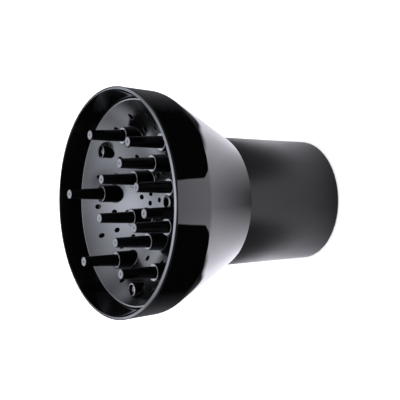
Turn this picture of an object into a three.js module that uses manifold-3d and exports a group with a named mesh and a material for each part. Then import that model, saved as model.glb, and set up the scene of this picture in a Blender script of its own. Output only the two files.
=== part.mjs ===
// Hair dryer diffuser: a bell-shaped bowl with a perforated finger plate and a soft neck sleeve.
// Millimetres, +Z up. The neck's open end is at z = 0 and the bowl opens upwards.

import * as THREE from 'three';
import { mergeVertices } from 'three/addons/utils/BufferGeometryUtils.js';
import Module from 'manifold-3d';

const wasm = await Module();
wasm.setup();

// ---------------------------------------------------------------- driving dimensions

const RIM_Z = 154.2;
const RIM_RADIUS = 75.3;
const WALL = 2.2;
const GAP = 0.3;

// Bell: a nearly cylindrical band, a rounded shoulder and a cone down to the rear opening.
const BAND_TAPER = 0.085;
const CONE_TAPER = 0.543;
const SHOULDER_ROUND = 14;
const BELL_END_Z = 76.5;
const BELL_END_RADIUS = 45.2;
const OPENING_RADIUS = 44.1;
const LEDGE_Z = 84;
const TOP_EDGE_WALL = 1;
const TOP_EDGE_TAPER_LENGTH = 8;
const POST_SKIN = 1;

// Bezel: the lip covers the bell's top edge and falls a little outwards. The wall slopes down
// to the plate.
const LIP_INNER_RADIUS = 73.4;
const LIP_THICKNESS = 1.5;
const LIP_DROP = 0.75;
const LIP_ROUND = 0.8;
const BEZEL_WALL = 1.5;

// Plate: a spherical dish, concave side up, inside a narrow flat margin.
const DISH_RADIUS = 91.4;
const DISH_BOTTOM_Z = 111;
const PLATE_THICKNESS = 2;
const MARGIN_INNER_RADIUS = 66.8;
const MARGIN_OUTER_RADIUS = 68;
const MARGIN_Z = 140.2;
const UNDER_EDGE_RADIUS = 65.4;
const UNDER_MARGIN_RADIUS = 66.4;

// Fingers stand in sockets on two rings. Both rings use the same finger.
const OUTER_RING = { radius: 48.3, firstAngle: 30, socketTopZ: 135.8 };
const INNER_RING = { radius: 25.8, firstAngle: 0, socketTopZ: 126.7 };
const FINGERS_PER_RING = 6;
const FINGER_LENGTH = 23.8;
const FINGER_TIP_RADIUS = 3.15;
const FINGER_TIP_ROUND = 0.5;
const FINGER_FOOT_RADIUS = 4.05;
const SPIGOT_RADIUS = 3;
const SPIGOT_LENGTH = 9;
const AIR_CHANNEL_RADIUS = 1.6;
const TIP_HOLE_RADIUS = 0.5;
const TIP_WALL = 1.6;
const SOCKET_TOP_RADIUS = 5.8;
const SOCKET_FOOT_RADIUS = 6.1;

// Air holes, as rings of equal holes: the angles repeat every `period` degrees.
const AIR_HOLE_RADIUS = 1.6;
const AIR_HOLE_RINGS = [
  { radius: 58.3, period: 120, angles: [20, 40, 60, 80, 100] },
  { radius: 48.6, period: 120, angles: [0, 15, 45, 60, 75, 105] },
  { radius: 39.6, period: 60, angles: [-13, 13] },
  { radius: 28, period: 60, angles: [30] },
  { radius: 20.4, period: 60, angles: [21, 39] },
  { radius: 11.4, period: 60, angles: [30] },
];

// Screws: one size of thread and head, in three lengths.
const SCREW_COUNT = 3;
const SHANK_RADIUS = 1.45;
const SCREW_HEAD_RADIUS = 2.5;
const SCREW_HEAD_HEIGHT = 1.8;
const SCREW_HEAD_EDGE_HEIGHT = 1.1;
const SCREW_CROWN_RADIUS = 1.9;
const CROSS_WIDTH = 0.8;
const CROSS_LENGTH = 3.3;
const CROSS_DEPTH = 1;
const PLATE_SCREW = { radius: 57.5, firstAngle: 0, seatZ: 133.6, floor: 7.3, length: 19.2 };
const CLAMP_SCREW = { radius: 49.2, firstAngle: 60, seatZ: 100.8, length: 9.5 };
const DEFLECTOR_SCREW = { seatZ: 106.2, floor: 3, length: 11.5 };
const BOSS = { radius: 4.4, recess: 3.4, topZ: 136.5 };
const CENTRE_BOSS = { radius: 4.9, recess: 3.2, topZ: 113.4 };
const POST_RADIUS = 4;
const CLAMP_POST_RADIUS = 3.2;

// Neck sleeve and the ring that clamps its flange to the bell.
const SLEEVE_END_RADIUS = 40.75;
const SLEEVE_TOP_RADIUS = 43.7;
const SLEEVE_WALL = 2.6;
const SLEEVE_CHAMFER = 0.5;
const FLANGE_RADIUS = 45.6;
const FLANGE_THICKNESS = 2.5;
const FIN_COUNT = 12;
const FIN_THICKNESS = 1.4;
const FIN_INNER_RADIUS = 31.5;
const FIN_LOW_Z = 4;
const FIN_HIGH_Z = 66;
const FIN_SLOPE = 12;
const FIN_ROOT_DEPTH = 0.9;
const RING_INNER_RADIUS = 41.4;
const RING_WALL = 2.2;
const RING_FOOT = 2.5;
const EAR_WIDTH = 7.4;
const EAR_REACH = 51.4;

// Air deflector behind the middle of the plate.
const DEFLECTOR_RADIUS = 18;
const DEFLECTOR_TIP_Z = 88;
const DEFLECTOR_RIM_Z = 97;
const DEFLECTOR_WALL = 1.8;
const STEM_RADIUS = 4;

// Facets round each kind of turned piece.
const BIG_FACETS = 40;
const SMALL_FACETS = 12;
const HOLE_FACETS = 8;
const ROUND_STEPS = 3;
const SHOULDER_STEPS = 5;
const DISH_STEPS = 8;
const WELD = 1e-4;

// How far a cutting shape reaches past the surface that it cuts.
const CUT_REACH = 1;
const PLATE_CUT_REACH = 8;

const GLOSS_BLACK = { color: 0x0b0b0d, roughness: 0.12, metalness: 0 };
const BLACK_PLASTIC = { color: 0x161618, roughness: 0.5, metalness: 0 };
const GREY_RUBBER = { color: 0x2a2a2d, roughness: 0.7, metalness: 0 };
const BLACK_STEEL = { color: 0x3a3a3d, roughness: 0.35, metalness: 1 };

const group = new THREE.Group();

// ---------------------------------------------------------------- solids

/** Turns a closed three.js geometry into a solid for booleans. */
function solid(geometry) {
  const bare = geometry.index ? geometry.toNonIndexed() : geometry.clone();
  bare.deleteAttribute('normal');
  bare.deleteAttribute('uv');
  const merged = mergeVertices(bare, WELD);
  const index = merged.index.array;
  const triangles = [];
  for (let i = 0; i < index.length; i += 3) {
    const [a, b, c] = index.subarray(i, i + 3);
    if (a !== b && b !== c && c !== a) triangles.push(a, b, c);
  }
  return new wasm.Manifold(new wasm.Mesh({
    numProp: 3,
    vertProperties: merged.attributes.position.array,
    triVerts: new Uint32Array(triangles),
  }));
}

/** Turns a solid back into a three.js geometry. */
function geometryOf(shape) {
  const mesh = shape.getMesh();
  const geometry = new THREE.BufferGeometry();
  geometry.setAttribute('position', new THREE.BufferAttribute(mesh.vertProperties, mesh.numProp));
  geometry.setIndex(new THREE.BufferAttribute(mesh.triVerts, 1));
  geometry.computeVertexNormals();
  return geometry;
}

/** Turns a profile of [radius, z] points about +Z. The profile runs anticlockwise. */
function turned(profile, facets) {
  const points = profile.map(([radius, z]) => new THREE.Vector2(radius, z));
  return new THREE.LatheGeometry(points, facets).rotateX(Math.PI / 2);
}

/** A ring section: the profile closes on itself instead of on the axis. */
function turnedRing(profile, facets) {
  return turned([...profile, profile[0]], facets);
}

/** An upright cylinder or truncated cone from z = low to z = high. */
function upright(lowRadius, highRadius, low, high, facets) {
  return turned([[0, low], [lowRadius, low], [highRadius, high], [0, high]], facets);
}

/** Places a geometry at a radius and an angle about +Z, turned to face outwards. */
function placed(geometry, radius, degrees) {
  const angle = THREE.MathUtils.degToRad(degrees);
  return geometry.clone().translate(radius, 0, 0).rotateZ(angle);
}

/** The point on a circle at an angle from the horizontal, as [radius, z]. */
function onArc(centreRadius, centreZ, arcRadius, angle) {
  return [centreRadius + arcRadius * Math.cos(angle), centreZ + arcRadius * Math.sin(angle)];
}

/** Points on a round that replaces the corner of a profile. */
function rounded(before, corner, after, radius, steps) {
  const here = new THREE.Vector2(...corner);
  const back = new THREE.Vector2(...before).sub(here).normalize();
  const ahead = new THREE.Vector2(...after).sub(here).normalize();
  const half = Math.acos(THREE.MathUtils.clamp(back.dot(ahead), -1, 1)) / 2;
  const bisector = back.clone().add(ahead).normalize();
  const centre = here.clone().addScaledVector(bisector, radius / Math.sin(half));
  const start = here.clone().addScaledVector(back, radius / Math.tan(half)).sub(centre);
  const end = here.clone().addScaledVector(ahead, radius / Math.tan(half)).sub(centre);
  const sweep = Math.atan2(start.cross(end), start.dot(end));
  const points = [];
  for (let i = 0; i <= steps; i += 1) {
    points.push(onArc(centre.x, centre.y, radius, start.angle() + (sweep * i) / steps));
  }
  return points;
}

/** The angles of a ring of equally spaced pieces, in degrees. */
function ringAngles(count, firstAngle) {
  return Array.from({ length: count }, (_, i) => firstAngle + (360 * i) / count);
}

/** Adds a named piece to the group and returns its mesh. */
function addPiece(name, geometry, look) {
  const mesh = new THREE.Mesh(geometry, new THREE.MeshStandardMaterial(look));
  mesh.name = name;
  group.add(mesh);
  return mesh;
}

/** Adds one mesh of the same geometry at each angle of a ring. */
function addRing(name, geometry, look, radius, angles, z) {
  angles.forEach((degrees, i) => {
    const angle = THREE.MathUtils.degToRad(degrees);
    const mesh = addPiece(`${name}_${i + 1}`, geometry, look);
    mesh.position.set(radius * Math.cos(angle), radius * Math.sin(angle), z);
    mesh.rotation.z = angle;
  });
}

// ---------------------------------------------------------------- bell shell

function bandRadius(z) {
  return RIM_RADIUS - BAND_TAPER * (RIM_Z - z);
}

function coneRadius(z) {
  return BELL_END_RADIUS + CONE_TAPER * (z - BELL_END_Z);
}

/** The corner where the band and the cone meet, both moved inwards by a horizontal amount. */
function shoulder(bandInset, coneInset) {
  const difference = bandRadius(0) - bandInset - (coneRadius(0) - coneInset);
  const z = difference / (CONE_TAPER - BAND_TAPER);
  return [bandRadius(z) - bandInset, z];
}

/** A hollow upright post: the outside, and the pilot hole to cut from it. */
function post(radius, low, high, holeRadius, holeLow) {
  return {
    outside: upright(radius, radius, low, high, SMALL_FACETS),
    hole: upright(holeRadius, holeRadius, holeLow, high + CUT_REACH, HOLE_FACETS),
  };
}

function bellShell() {
  const coneInset = WALL * Math.hypot(1, CONE_TAPER);
  const outerCorner = shoulder(0, 0);
  const innerCorner = shoulder(WALL, coneInset);
  const foot = [BELL_END_RADIUS, BELL_END_Z];
  const topZ = RIM_Z - LIP_THICKNESS - GAP;
  const taperZ = topZ - TOP_EDGE_TAPER_LENGTH;
  const innerTop = [bandRadius(taperZ) - WALL, taperZ];
  const innerFoot = [coneRadius(LEDGE_Z) - coneInset, LEDGE_Z];
  const outline = [
    [OPENING_RADIUS, BELL_END_Z],
    foot,
    ...rounded(foot, outerCorner, [RIM_RADIUS, RIM_Z], SHOULDER_ROUND, SHOULDER_STEPS),
    [bandRadius(topZ), topZ],
    [bandRadius(topZ) - TOP_EDGE_WALL, topZ],
    innerTop,
    ...rounded(innerTop, innerCorner, innerFoot, SHOULDER_ROUND - WALL, SHOULDER_STEPS - 1),
    innerFoot,
    [OPENING_RADIUS, LEDGE_Z],
  ];
  let shell = solid(turnedRing(outline, BIG_FACETS));

  // Posts for the plate screws and the clamp screws, trimmed to the outside of the bell.
  const envelope = solid(turned([
    [0, LEDGE_Z + WALL],
    [coneRadius(LEDGE_Z + WALL) - POST_SKIN, LEDGE_Z + WALL],
    [outerCorner[0] - POST_SKIN, outerCorner[1]],
    [outerCorner[0] - POST_SKIN, RIM_Z],
    [0, RIM_Z],
  ], BIG_FACETS));
  const holeRadius = SHANK_RADIUS + GAP;
  const plateTop = PLATE_SCREW.seatZ - GAP - PLATE_SCREW.floor - GAP;
  const platePost = post(POST_RADIUS, BELL_END_Z, plateTop, holeRadius,
    PLATE_SCREW.seatZ - PLATE_SCREW.length - CUT_REACH);
  const clampTop = CLAMP_SCREW.seatZ - GAP - RING_FOOT - GAP;
  const clampPost = post(CLAMP_POST_RADIUS, BELL_END_Z, clampTop, holeRadius,
    CLAMP_SCREW.seatZ - CLAMP_SCREW.length - CUT_REACH / 2);
  const rings = [
    { shape: platePost, at: PLATE_SCREW },
    { shape: clampPost, at: CLAMP_SCREW },
  ];
  for (const { shape, at } of rings) {
    for (const angle of ringAngles(SCREW_COUNT, at.firstAngle)) {
      const outside = solid(placed(shape.outside, at.radius, angle)).intersect(envelope);
      shell = shell.add(outside).subtract(solid(placed(shape.hole, at.radius, angle)));
    }
  }
  return geometryOf(shell);
}

// ---------------------------------------------------------------- rim bezel

/** The conical ring inside the rim. Its lip rests on the bell and its ledge lies under the plate. */
function rimBezel() {
  const lipBottom = RIM_Z - LIP_THICKNESS;
  const shaftRadius = bandRadius(lipBottom) - TOP_EDGE_WALL - GAP;
  const wallFoot = MARGIN_OUTER_RADIUS + GAP;
  const ledgeInner = MARGIN_INNER_RADIUS + GAP / 3;
  const ledgeTop = MARGIN_Z - PLATE_THICKNESS - GAP;
  const ledgeBottom = ledgeTop - WALL;
  const lipOuterFoot = [RIM_RADIUS, lipBottom];
  const lipOuterTop = [RIM_RADIUS, RIM_Z - LIP_DROP];
  const lipInnerTop = [LIP_INNER_RADIUS, RIM_Z];
  const outline = [
    [ledgeInner, ledgeBottom],
    [wallFoot + BEZEL_WALL / 3, ledgeBottom],
    [wallFoot + BEZEL_WALL, MARGIN_Z],
    [shaftRadius, lipBottom],
    lipOuterFoot,
    ...rounded(lipOuterFoot, lipOuterTop, lipInnerTop, LIP_ROUND, ROUND_STEPS),
    lipInnerTop,
    [wallFoot, MARGIN_Z],
    [wallFoot, ledgeTop],
    [ledgeInner, ledgeTop],
  ];
  return geometryOf(solid(turnedRing(outline, BIG_FACETS)));
}

// ---------------------------------------------------------------- finger plate

/** Height of the dish's upper surface at a radius. */
function dishZ(radius) {
  return DISH_BOTTOM_Z + DISH_RADIUS - Math.sqrt(DISH_RADIUS ** 2 - radius ** 2);
}

/** Points along the dish from the axis outwards, on a sphere larger by `offset`. */
function dishCurve(offset, edgeRadius, steps) {
  const radius = DISH_RADIUS + offset;
  const edgeAngle = Math.asin(edgeRadius / radius);
  const points = [];
  for (let i = 0; i <= steps; i += 1) {
    const angle = (edgeAngle * i) / steps;
    const z = DISH_BOTTOM_Z + DISH_RADIUS - radius * Math.cos(angle);
    points.push([radius * Math.sin(angle), z]);
  }
  return points;
}

function fingerPlate() {
  const dish = [
    ...dishCurve(PLATE_THICKNESS, UNDER_EDGE_RADIUS, DISH_STEPS - 1),
    [UNDER_MARGIN_RADIUS, MARGIN_Z - PLATE_THICKNESS],
    [MARGIN_OUTER_RADIUS, MARGIN_Z - PLATE_THICKNESS],
    [MARGIN_OUTER_RADIUS, MARGIN_Z],
    [MARGIN_INNER_RADIUS, MARGIN_Z],
    ...dishCurve(0, MARGIN_INNER_RADIUS, DISH_STEPS).reverse(),
  ];
  let plate = solid(turned(dish, BIG_FACETS));

  // Everything is added first and cut afterwards, so that no boss fills a bore.
  const throughCuts = [];
  for (const ring of [OUTER_RING, INNER_RING]) {
    const foot = dishZ(ring.radius) - PLATE_THICKNESS;
    const socket = upright(SOCKET_FOOT_RADIUS, SOCKET_TOP_RADIUS, foot, ring.socketTopZ, SMALL_FACETS);
    const bore = SPIGOT_RADIUS + GAP;
    const cut = upright(bore, bore, foot - PLATE_CUT_REACH, ring.socketTopZ + CUT_REACH, SMALL_FACETS);
    for (const angle of ringAngles(FINGERS_PER_RING, ring.firstAngle)) {
      plate = plate.add(solid(placed(socket, ring.radius, angle)));
      throughCuts.push(placed(cut, ring.radius, angle));
    }
  }

  // Counterbored bosses for the three plate screws and for the deflector screw in the middle.
  const holeRadius = SHANK_RADIUS + GAP;
  const bosses = [
    { size: BOSS, at: PLATE_SCREW, ring: PLATE_SCREW.radius, count: SCREW_COUNT },
    { size: CENTRE_BOSS, at: DEFLECTOR_SCREW, ring: 0, count: 1 },
  ];
  for (const { size, at, ring, count } of bosses) {
    const seat = at.seatZ - GAP;
    const bottom = seat - at.floor;
    const boss = upright(size.radius, size.radius, bottom, size.topZ, SMALL_FACETS);
    const recess = upright(size.recess, size.recess, seat, size.topZ + CUT_REACH, SMALL_FACETS);
    const hole = upright(holeRadius, holeRadius, bottom - CUT_REACH, seat + CUT_REACH, HOLE_FACETS);
    for (const angle of ringAngles(count, PLATE_SCREW.firstAngle)) {
      plate = plate.add(solid(placed(boss, ring, angle)));
      throughCuts.push(placed(recess, ring, angle), placed(hole, ring, angle));
    }
  }

  for (const { radius, period, angles } of AIR_HOLE_RINGS) {
    const low = dishZ(radius) - PLATE_CUT_REACH;
    const high = dishZ(radius) + PLATE_CUT_REACH;
    const hole = upright(AIR_HOLE_RADIUS, AIR_HOLE_RADIUS, low, high, HOLE_FACETS);
    for (const turn of ringAngles(360 / period, 0)) {
      throughCuts.push(...angles.map((angle) => placed(hole, radius, turn + angle)));
    }
  }
  for (const cut of throughCuts) {
    plate = plate.subtract(solid(cut));
  }
  return geometryOf(plate);
}

// ---------------------------------------------------------------- fingers

/** A hollow finger standing on z = 0, with a spigot below and an air outlet in its rounded tip. */
function finger() {
  const foot = [FINGER_FOOT_RADIUS, 0];
  const tipEdge = [FINGER_TIP_RADIUS, FINGER_LENGTH];
  const tipHole = [TIP_HOLE_RADIUS, FINGER_LENGTH];
  const outline = [
    [AIR_CHANNEL_RADIUS, -SPIGOT_LENGTH],
    [SPIGOT_RADIUS, -SPIGOT_LENGTH],
    [SPIGOT_RADIUS, 0],
    foot,
    ...rounded(foot, tipEdge, tipHole, FINGER_TIP_ROUND, ROUND_STEPS),
    tipHole,
    [TIP_HOLE_RADIUS, FINGER_LENGTH - TIP_WALL],
    [AIR_CHANNEL_RADIUS, FINGER_LENGTH - 2 * TIP_WALL],
  ];
  return geometryOf(solid(turnedRing(outline, SMALL_FACETS)));
}

// ---------------------------------------------------------------- screws

/** A pan-head self-tapping screw with its seat at z = 0 and its shank below. */
function screw(length) {
  const outline = [
    [0, -length],
    [SHANK_RADIUS, 2 * SHANK_RADIUS - length],
    [SHANK_RADIUS, 0],
    [SCREW_HEAD_RADIUS, 0],
    [SCREW_HEAD_RADIUS, SCREW_HEAD_EDGE_HEIGHT],
    [SCREW_CROWN_RADIUS, SCREW_HEAD_HEIGHT],
    [0, SCREW_HEAD_HEIGHT],
  ];
  const bar = new THREE.BoxGeometry(CROSS_LENGTH, CROSS_WIDTH, 2 * CROSS_DEPTH);
  const across = bar.clone().translate(0, 0, SCREW_HEAD_HEIGHT);
  const along = bar.clone().rotateZ(Math.PI / 2).translate(0, 0, SCREW_HEAD_HEIGHT);
  const body = solid(turned(outline, SMALL_FACETS));
  return geometryOf(body.subtract(solid(across)).subtract(solid(along)));
}

// ---------------------------------------------------------------- neck sleeve and its clamp

/** Outer radius of the sleeve at a height below the bell. */
function sleeveRadius(z) {
  return SLEEVE_END_RADIUS + ((SLEEVE_TOP_RADIUS - SLEEVE_END_RADIUS) * z) / BELL_END_Z;
}

function neckSleeve() {
  const flangeZ = LEDGE_Z + GAP;
  const flangeTop = flangeZ + FLANGE_THICKNESS;
  const innerTop = SLEEVE_TOP_RADIUS - SLEEVE_WALL;
  const outline = [
    [SLEEVE_END_RADIUS - SLEEVE_WALL + SLEEVE_CHAMFER, 0],
    [SLEEVE_END_RADIUS - SLEEVE_CHAMFER, 0],
    [sleeveRadius(SLEEVE_CHAMFER), SLEEVE_CHAMFER],
    [SLEEVE_TOP_RADIUS, BELL_END_Z],
    [SLEEVE_TOP_RADIUS, flangeZ],
    [FLANGE_RADIUS, flangeZ],
    [FLANGE_RADIUS, flangeTop],
    [innerTop, flangeTop],
    [innerTop, BELL_END_Z],
    [sleeveRadius(SLEEVE_CHAMFER) - SLEEVE_WALL, SLEEVE_CHAMFER],
  ];
  let sleeve = solid(turnedRing(outline, BIG_FACETS));

  // Soft fins inside the bore, sloped at both ends, grip nozzles of different sizes.
  const root = (z) => sleeveRadius(z) - SLEEVE_WALL + FIN_ROOT_DEPTH;
  const side = new THREE.Shape([
    new THREE.Vector2(root(FIN_LOW_Z), FIN_LOW_Z),
    new THREE.Vector2(root(FIN_HIGH_Z), FIN_HIGH_Z),
    new THREE.Vector2(FIN_INNER_RADIUS, FIN_HIGH_Z - FIN_SLOPE),
    new THREE.Vector2(FIN_INNER_RADIUS, FIN_LOW_Z + FIN_SLOPE),
  ]);
  const fin = new THREE.ExtrudeGeometry(side, { depth: FIN_THICKNESS, bevelEnabled: false });
  fin.translate(0, 0, -FIN_THICKNESS / 2).rotateX(Math.PI / 2);
  for (const angle of ringAngles(FIN_COUNT, 180 / FIN_COUNT)) {
    sleeve = sleeve.add(solid(placed(fin, 0, angle)));
  }
  return geometryOf(sleeve);
}

/** The ring that presses the sleeve's flange on the bell's ledge, with three screw ears. */
function neckClampRing() {
  const low = LEDGE_Z + GAP + FLANGE_THICKNESS + GAP;
  const high = CLAMP_SCREW.seatZ - GAP;
  const outline = [
    [RING_INNER_RADIUS, low],
    [FLANGE_RADIUS, low],
    [FLANGE_RADIUS, high],
    [FLANGE_RADIUS - RING_WALL, high],
    [FLANGE_RADIUS - RING_WALL, low + RING_FOOT],
    [RING_INNER_RADIUS, low + RING_FOOT],
  ];
  let ring = solid(turnedRing(outline, BIG_FACETS));
  const earStart = FLANGE_RADIUS - RING_WALL / 2;
  const ear = new THREE.BoxGeometry(EAR_REACH - earStart, EAR_WIDTH, RING_FOOT);
  ear.translate((EAR_REACH - earStart) / 2, 0, high - RING_FOOT / 2);
  const holeRadius = SHANK_RADIUS + GAP;
  const hole = upright(holeRadius, holeRadius, low, high + CUT_REACH, HOLE_FACETS);
  for (const angle of ringAngles(SCREW_COUNT, CLAMP_SCREW.firstAngle)) {
    ring = ring.add(solid(placed(ear, earStart, angle)));
    ring = ring.subtract(solid(placed(hole, CLAMP_SCREW.radius, angle)));
  }
  return geometryOf(ring);
}

// ---------------------------------------------------------------- air deflector

/** A shallow cone on a stem: it turns the air from the neck outwards, behind the whole plate. */
function airDeflector() {
  const stemTop = DEFLECTOR_SCREW.seatZ - GAP - DEFLECTOR_SCREW.floor - GAP;
  const slope = (DEFLECTOR_RIM_Z - DEFLECTOR_TIP_Z) / DEFLECTOR_RADIUS;
  const pilot = SHANK_RADIUS + GAP;
  const pilotFloor = DEFLECTOR_SCREW.seatZ - DEFLECTOR_SCREW.length - CUT_REACH;
  const outline = [
    [0, DEFLECTOR_TIP_Z],
    [DEFLECTOR_RADIUS, DEFLECTOR_RIM_Z],
    [DEFLECTOR_RADIUS, DEFLECTOR_RIM_Z + DEFLECTOR_WALL],
    [STEM_RADIUS, DEFLECTOR_TIP_Z + slope * STEM_RADIUS + DEFLECTOR_WALL],
    [STEM_RADIUS, stemTop],
    [pilot, stemTop],
    [pilot, pilotFloor],
    [0, pilotFloor],
  ];
  return geometryOf(solid(turned(outline, 2 * SMALL_FACETS)));
}

// ---------------------------------------------------------------- the assembly

addPiece('bell_shell', bellShell(), GLOSS_BLACK);
addPiece('rim_bezel', rimBezel(), GLOSS_BLACK);
addPiece('finger_plate', fingerPlate(), GLOSS_BLACK);

const fingerGeometry = finger();
for (const [name, ring] of [['outer_finger', OUTER_RING], ['inner_finger', INNER_RING]]) {
  const angles = ringAngles(FINGERS_PER_RING, ring.firstAngle);
  addRing(name, fingerGeometry, GLOSS_BLACK, ring.radius, angles, ring.socketTopZ + GAP);
}

for (const [name, at] of [['plate_screw', PLATE_SCREW], ['clamp_screw', CLAMP_SCREW]]) {
  const angles = ringAngles(SCREW_COUNT, at.firstAngle);
  addRing(name, screw(at.length), BLACK_STEEL, at.radius, angles, at.seatZ);
}
addPiece('deflector_screw', screw(DEFLECTOR_SCREW.length), BLACK_STEEL).position.z = DEFLECTOR_SCREW.seatZ;

addPiece('air_deflector', airDeflector(), BLACK_PLASTIC);
addPiece('neck_sleeve', neckSleeve(), GREY_RUBBER);
addPiece('neck_clamp_ring', neckClampRing(), BLACK_PLASTIC);

export default group;
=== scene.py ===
"""Looks of a hair dryer diffuser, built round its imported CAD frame.

Lengths in the constants are millimetres and angles are degrees. Meshes are made in metres.
"""

import math

import bmesh
import bpy
from mathutils import Matrix, Vector
from mathutils.geometry import delaunay_2d_cdt


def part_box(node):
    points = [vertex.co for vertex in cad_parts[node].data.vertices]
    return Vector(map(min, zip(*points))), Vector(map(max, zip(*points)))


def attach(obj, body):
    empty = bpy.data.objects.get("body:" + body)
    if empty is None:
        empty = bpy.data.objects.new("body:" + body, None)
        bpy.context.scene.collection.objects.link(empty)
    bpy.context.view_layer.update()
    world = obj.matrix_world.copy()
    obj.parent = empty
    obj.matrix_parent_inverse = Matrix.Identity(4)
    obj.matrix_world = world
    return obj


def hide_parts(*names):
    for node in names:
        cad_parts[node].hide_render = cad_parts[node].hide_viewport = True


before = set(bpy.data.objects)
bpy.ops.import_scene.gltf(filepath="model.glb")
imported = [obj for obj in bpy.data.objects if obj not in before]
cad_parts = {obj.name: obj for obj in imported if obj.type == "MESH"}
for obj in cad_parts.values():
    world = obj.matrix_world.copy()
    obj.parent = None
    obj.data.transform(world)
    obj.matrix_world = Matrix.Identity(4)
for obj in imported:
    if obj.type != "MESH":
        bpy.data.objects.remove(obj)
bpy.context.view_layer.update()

MM = 0.001
ROOT = "root"

# ---------------------------------------------------------------- sizes


def span(node):
    """Lowest and highest corner of a CAD node, in millimetres."""
    low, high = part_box(node)
    return low / MM, high / MM


def centre_of(node):
    """Where a turned CAD node's axis stands, as (x, y) in millimetres."""
    low, high = span(node)
    return (low.x + high.x) / 2, (low.y + high.y) / 2


def nodes_named(prefix):
    return sorted(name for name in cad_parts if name.startswith(prefix))


# Bell.
RIM_Z = span("rim_bezel")[1].z
RIM_RADIUS = span("rim_bezel")[1].x
BELL_END_Z, BELL_TOP_Z = (corner.z for corner in span("bell_shell"))
WALL = 2.2
GAP = 0.3
BAND_TAPER = 0.085
CONE_TAPER = 0.543
SHOULDER_ROUND = 14
BELL_END_RADIUS = 45.2
OPENING_RADIUS = 44.1
LEDGE_Z = 84
TOP_EDGE_WALL = 1
TOP_EDGE_TAPER_LENGTH = 8

# Bezel.
LIP_INNER_RADIUS = 73.4
LIP_THICKNESS = 1.5
LIP_DROP = 0.75
LIP_ROUND = 0.8
BEZEL_WALL = 1.5
BEZEL_FOOT_Z = span("rim_bezel")[0].z

# Plate: a spherical dish inside a flat margin.
MARGIN_OUTER_RADIUS = span("finger_plate")[1].x
MARGIN_Z = span("finger_plate")[1].z
MARGIN_INNER_RADIUS = 66.8
DISH_RADIUS = 91.4
DISH_BOTTOM_Z = 111
PLATE_THICKNESS = 2
UNDER_EDGE_RADIUS = 65.4

# Sockets and fingers.
SOCKET_TOP_RADIUS = 5.8
SOCKET_FOOT_RADIUS = 6.1
SPIGOT_RADIUS = 3
SPIGOT_LENGTH = 9
FINGER_FOOT_RADIUS = 4.05
FINGER_TIP_RADIUS = 3.15
FINGER_TIP_ROUND = 0.4
AIR_CHANNEL_RADIUS = 1.6
TIP_HOLE_RADIUS = 0.5
TIP_WALL = 1.6

# Air holes: the angles of a ring repeat every `period` degrees.
AIR_HOLE_RADIUS = 1.6
AIR_HOLE_CHAMFER = 0.22
AIR_HOLE_RINGS = [
    {"radius": 58.3, "period": 120, "angles": [20, 40, 60, 80, 100]},
    {"radius": 48.6, "period": 120, "angles": [0, 15, 45, 60, 75, 105]},
    {"radius": 39.6, "period": 60, "angles": [-13, 13]},
    {"radius": 28, "period": 60, "angles": [30]},
    {"radius": 20.4, "period": 60, "angles": [21, 39]},
    {"radius": 11.4, "period": 60, "angles": [30]},
]

# Screws and their bosses.
SHANK_RADIUS = 1.45
THREAD_CREST = 0.22
THREAD_PITCH = 1.3
SCREW_HEAD_RADIUS = 2.5
SCREW_HEAD_HEIGHT = 1.8
PILOT_RADIUS = SHANK_RADIUS + GAP
BOSS = {"radius": 4.4, "recess": 3.4, "top_z": 136.5, "floor": 7.3}
CENTRE_BOSS = {"radius": 4.9, "recess": 3.2, "top_z": 113.4, "floor": 3, "round": 1.4}
POST_RADIUS = 4
CLAMP_POST_RADIUS = 3.2
RING_FOOT = 2.5

# Sleeve.
SLEEVE_END_RADIUS = 40.75
SLEEVE_TOP_RADIUS = 43.7
SLEEVE_WALL = 2.6
SLEEVE_TOP_Z = span("neck_sleeve")[1].z
FLANGE_RADIUS = span("neck_sleeve")[1].x
FLANGE_THICKNESS = 2.5
FIN_COUNT = 12
FIN_ROOT_HALF = 1.0
FIN_TIP_HALF = 0.6
FIN_INNER_RADIUS = 31.5
FIN_LOW_Z = 4
FIN_HIGH_Z = 66
FIN_SLOPE = 12

# Air deflector.
DEFLECTOR_LOW, DEFLECTOR_HIGH = span("air_deflector")
DEFLECTOR_RIM_Z = 97
DEFLECTOR_WALL = 1.8
STEM_RADIUS = 4

# Fineness of the meshes.
BIG_STEPS = 192
SMALL_STEPS = 48
HOLE_STEPS = 28
FINE_ARC_STEP = 18
WIDE_ARC_STEP = 2.5
WIDE_ROUND = 5
SUPPORT = 0.12
PLATE_GRID = 2.4
SHARP_ANGLE = 34


# ---------------------------------------------------------------- mesh helpers


def new_piece(name, mesh, nodes, material):
    """Links a mesh as a piece that stands for CAD nodes and rides on the root body."""
    piece = bpy.data.objects.new(name, mesh)
    bpy.context.scene.collection.objects.link(piece)
    piece.data.materials.clear()
    piece.data.materials.append(material)
    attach(piece, ROOT)
    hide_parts(*nodes)
    return piece


def shade_smooth(mesh, sharp_angle=SHARP_ANGLE):
    """Smooth faces with a crease wherever two faces meet at more than the sharp angle."""
    work = bmesh.new()
    work.from_mesh(mesh)
    limit = math.radians(sharp_angle)
    for face in work.faces:
        face.smooth = True
    for edge in work.edges:
        edge.smooth = len(edge.link_faces) == 2 and edge.calc_face_angle(0) < limit
    work.to_mesh(mesh)
    work.free()
    return mesh


def mesh_from(points, faces, name):
    """A closed mesh from millimetre points and faces, with its faces turned outwards."""
    work = bmesh.new()
    verts = [work.verts.new(Vector(point) * MM) for point in points]
    for face in faces:
        work.faces.new([verts[i] for i in face])
    bmesh.ops.recalc_face_normals(work, faces=work.faces)
    mesh = bpy.data.meshes.new(name)
    work.to_mesh(mesh)
    work.free()
    return mesh


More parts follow.
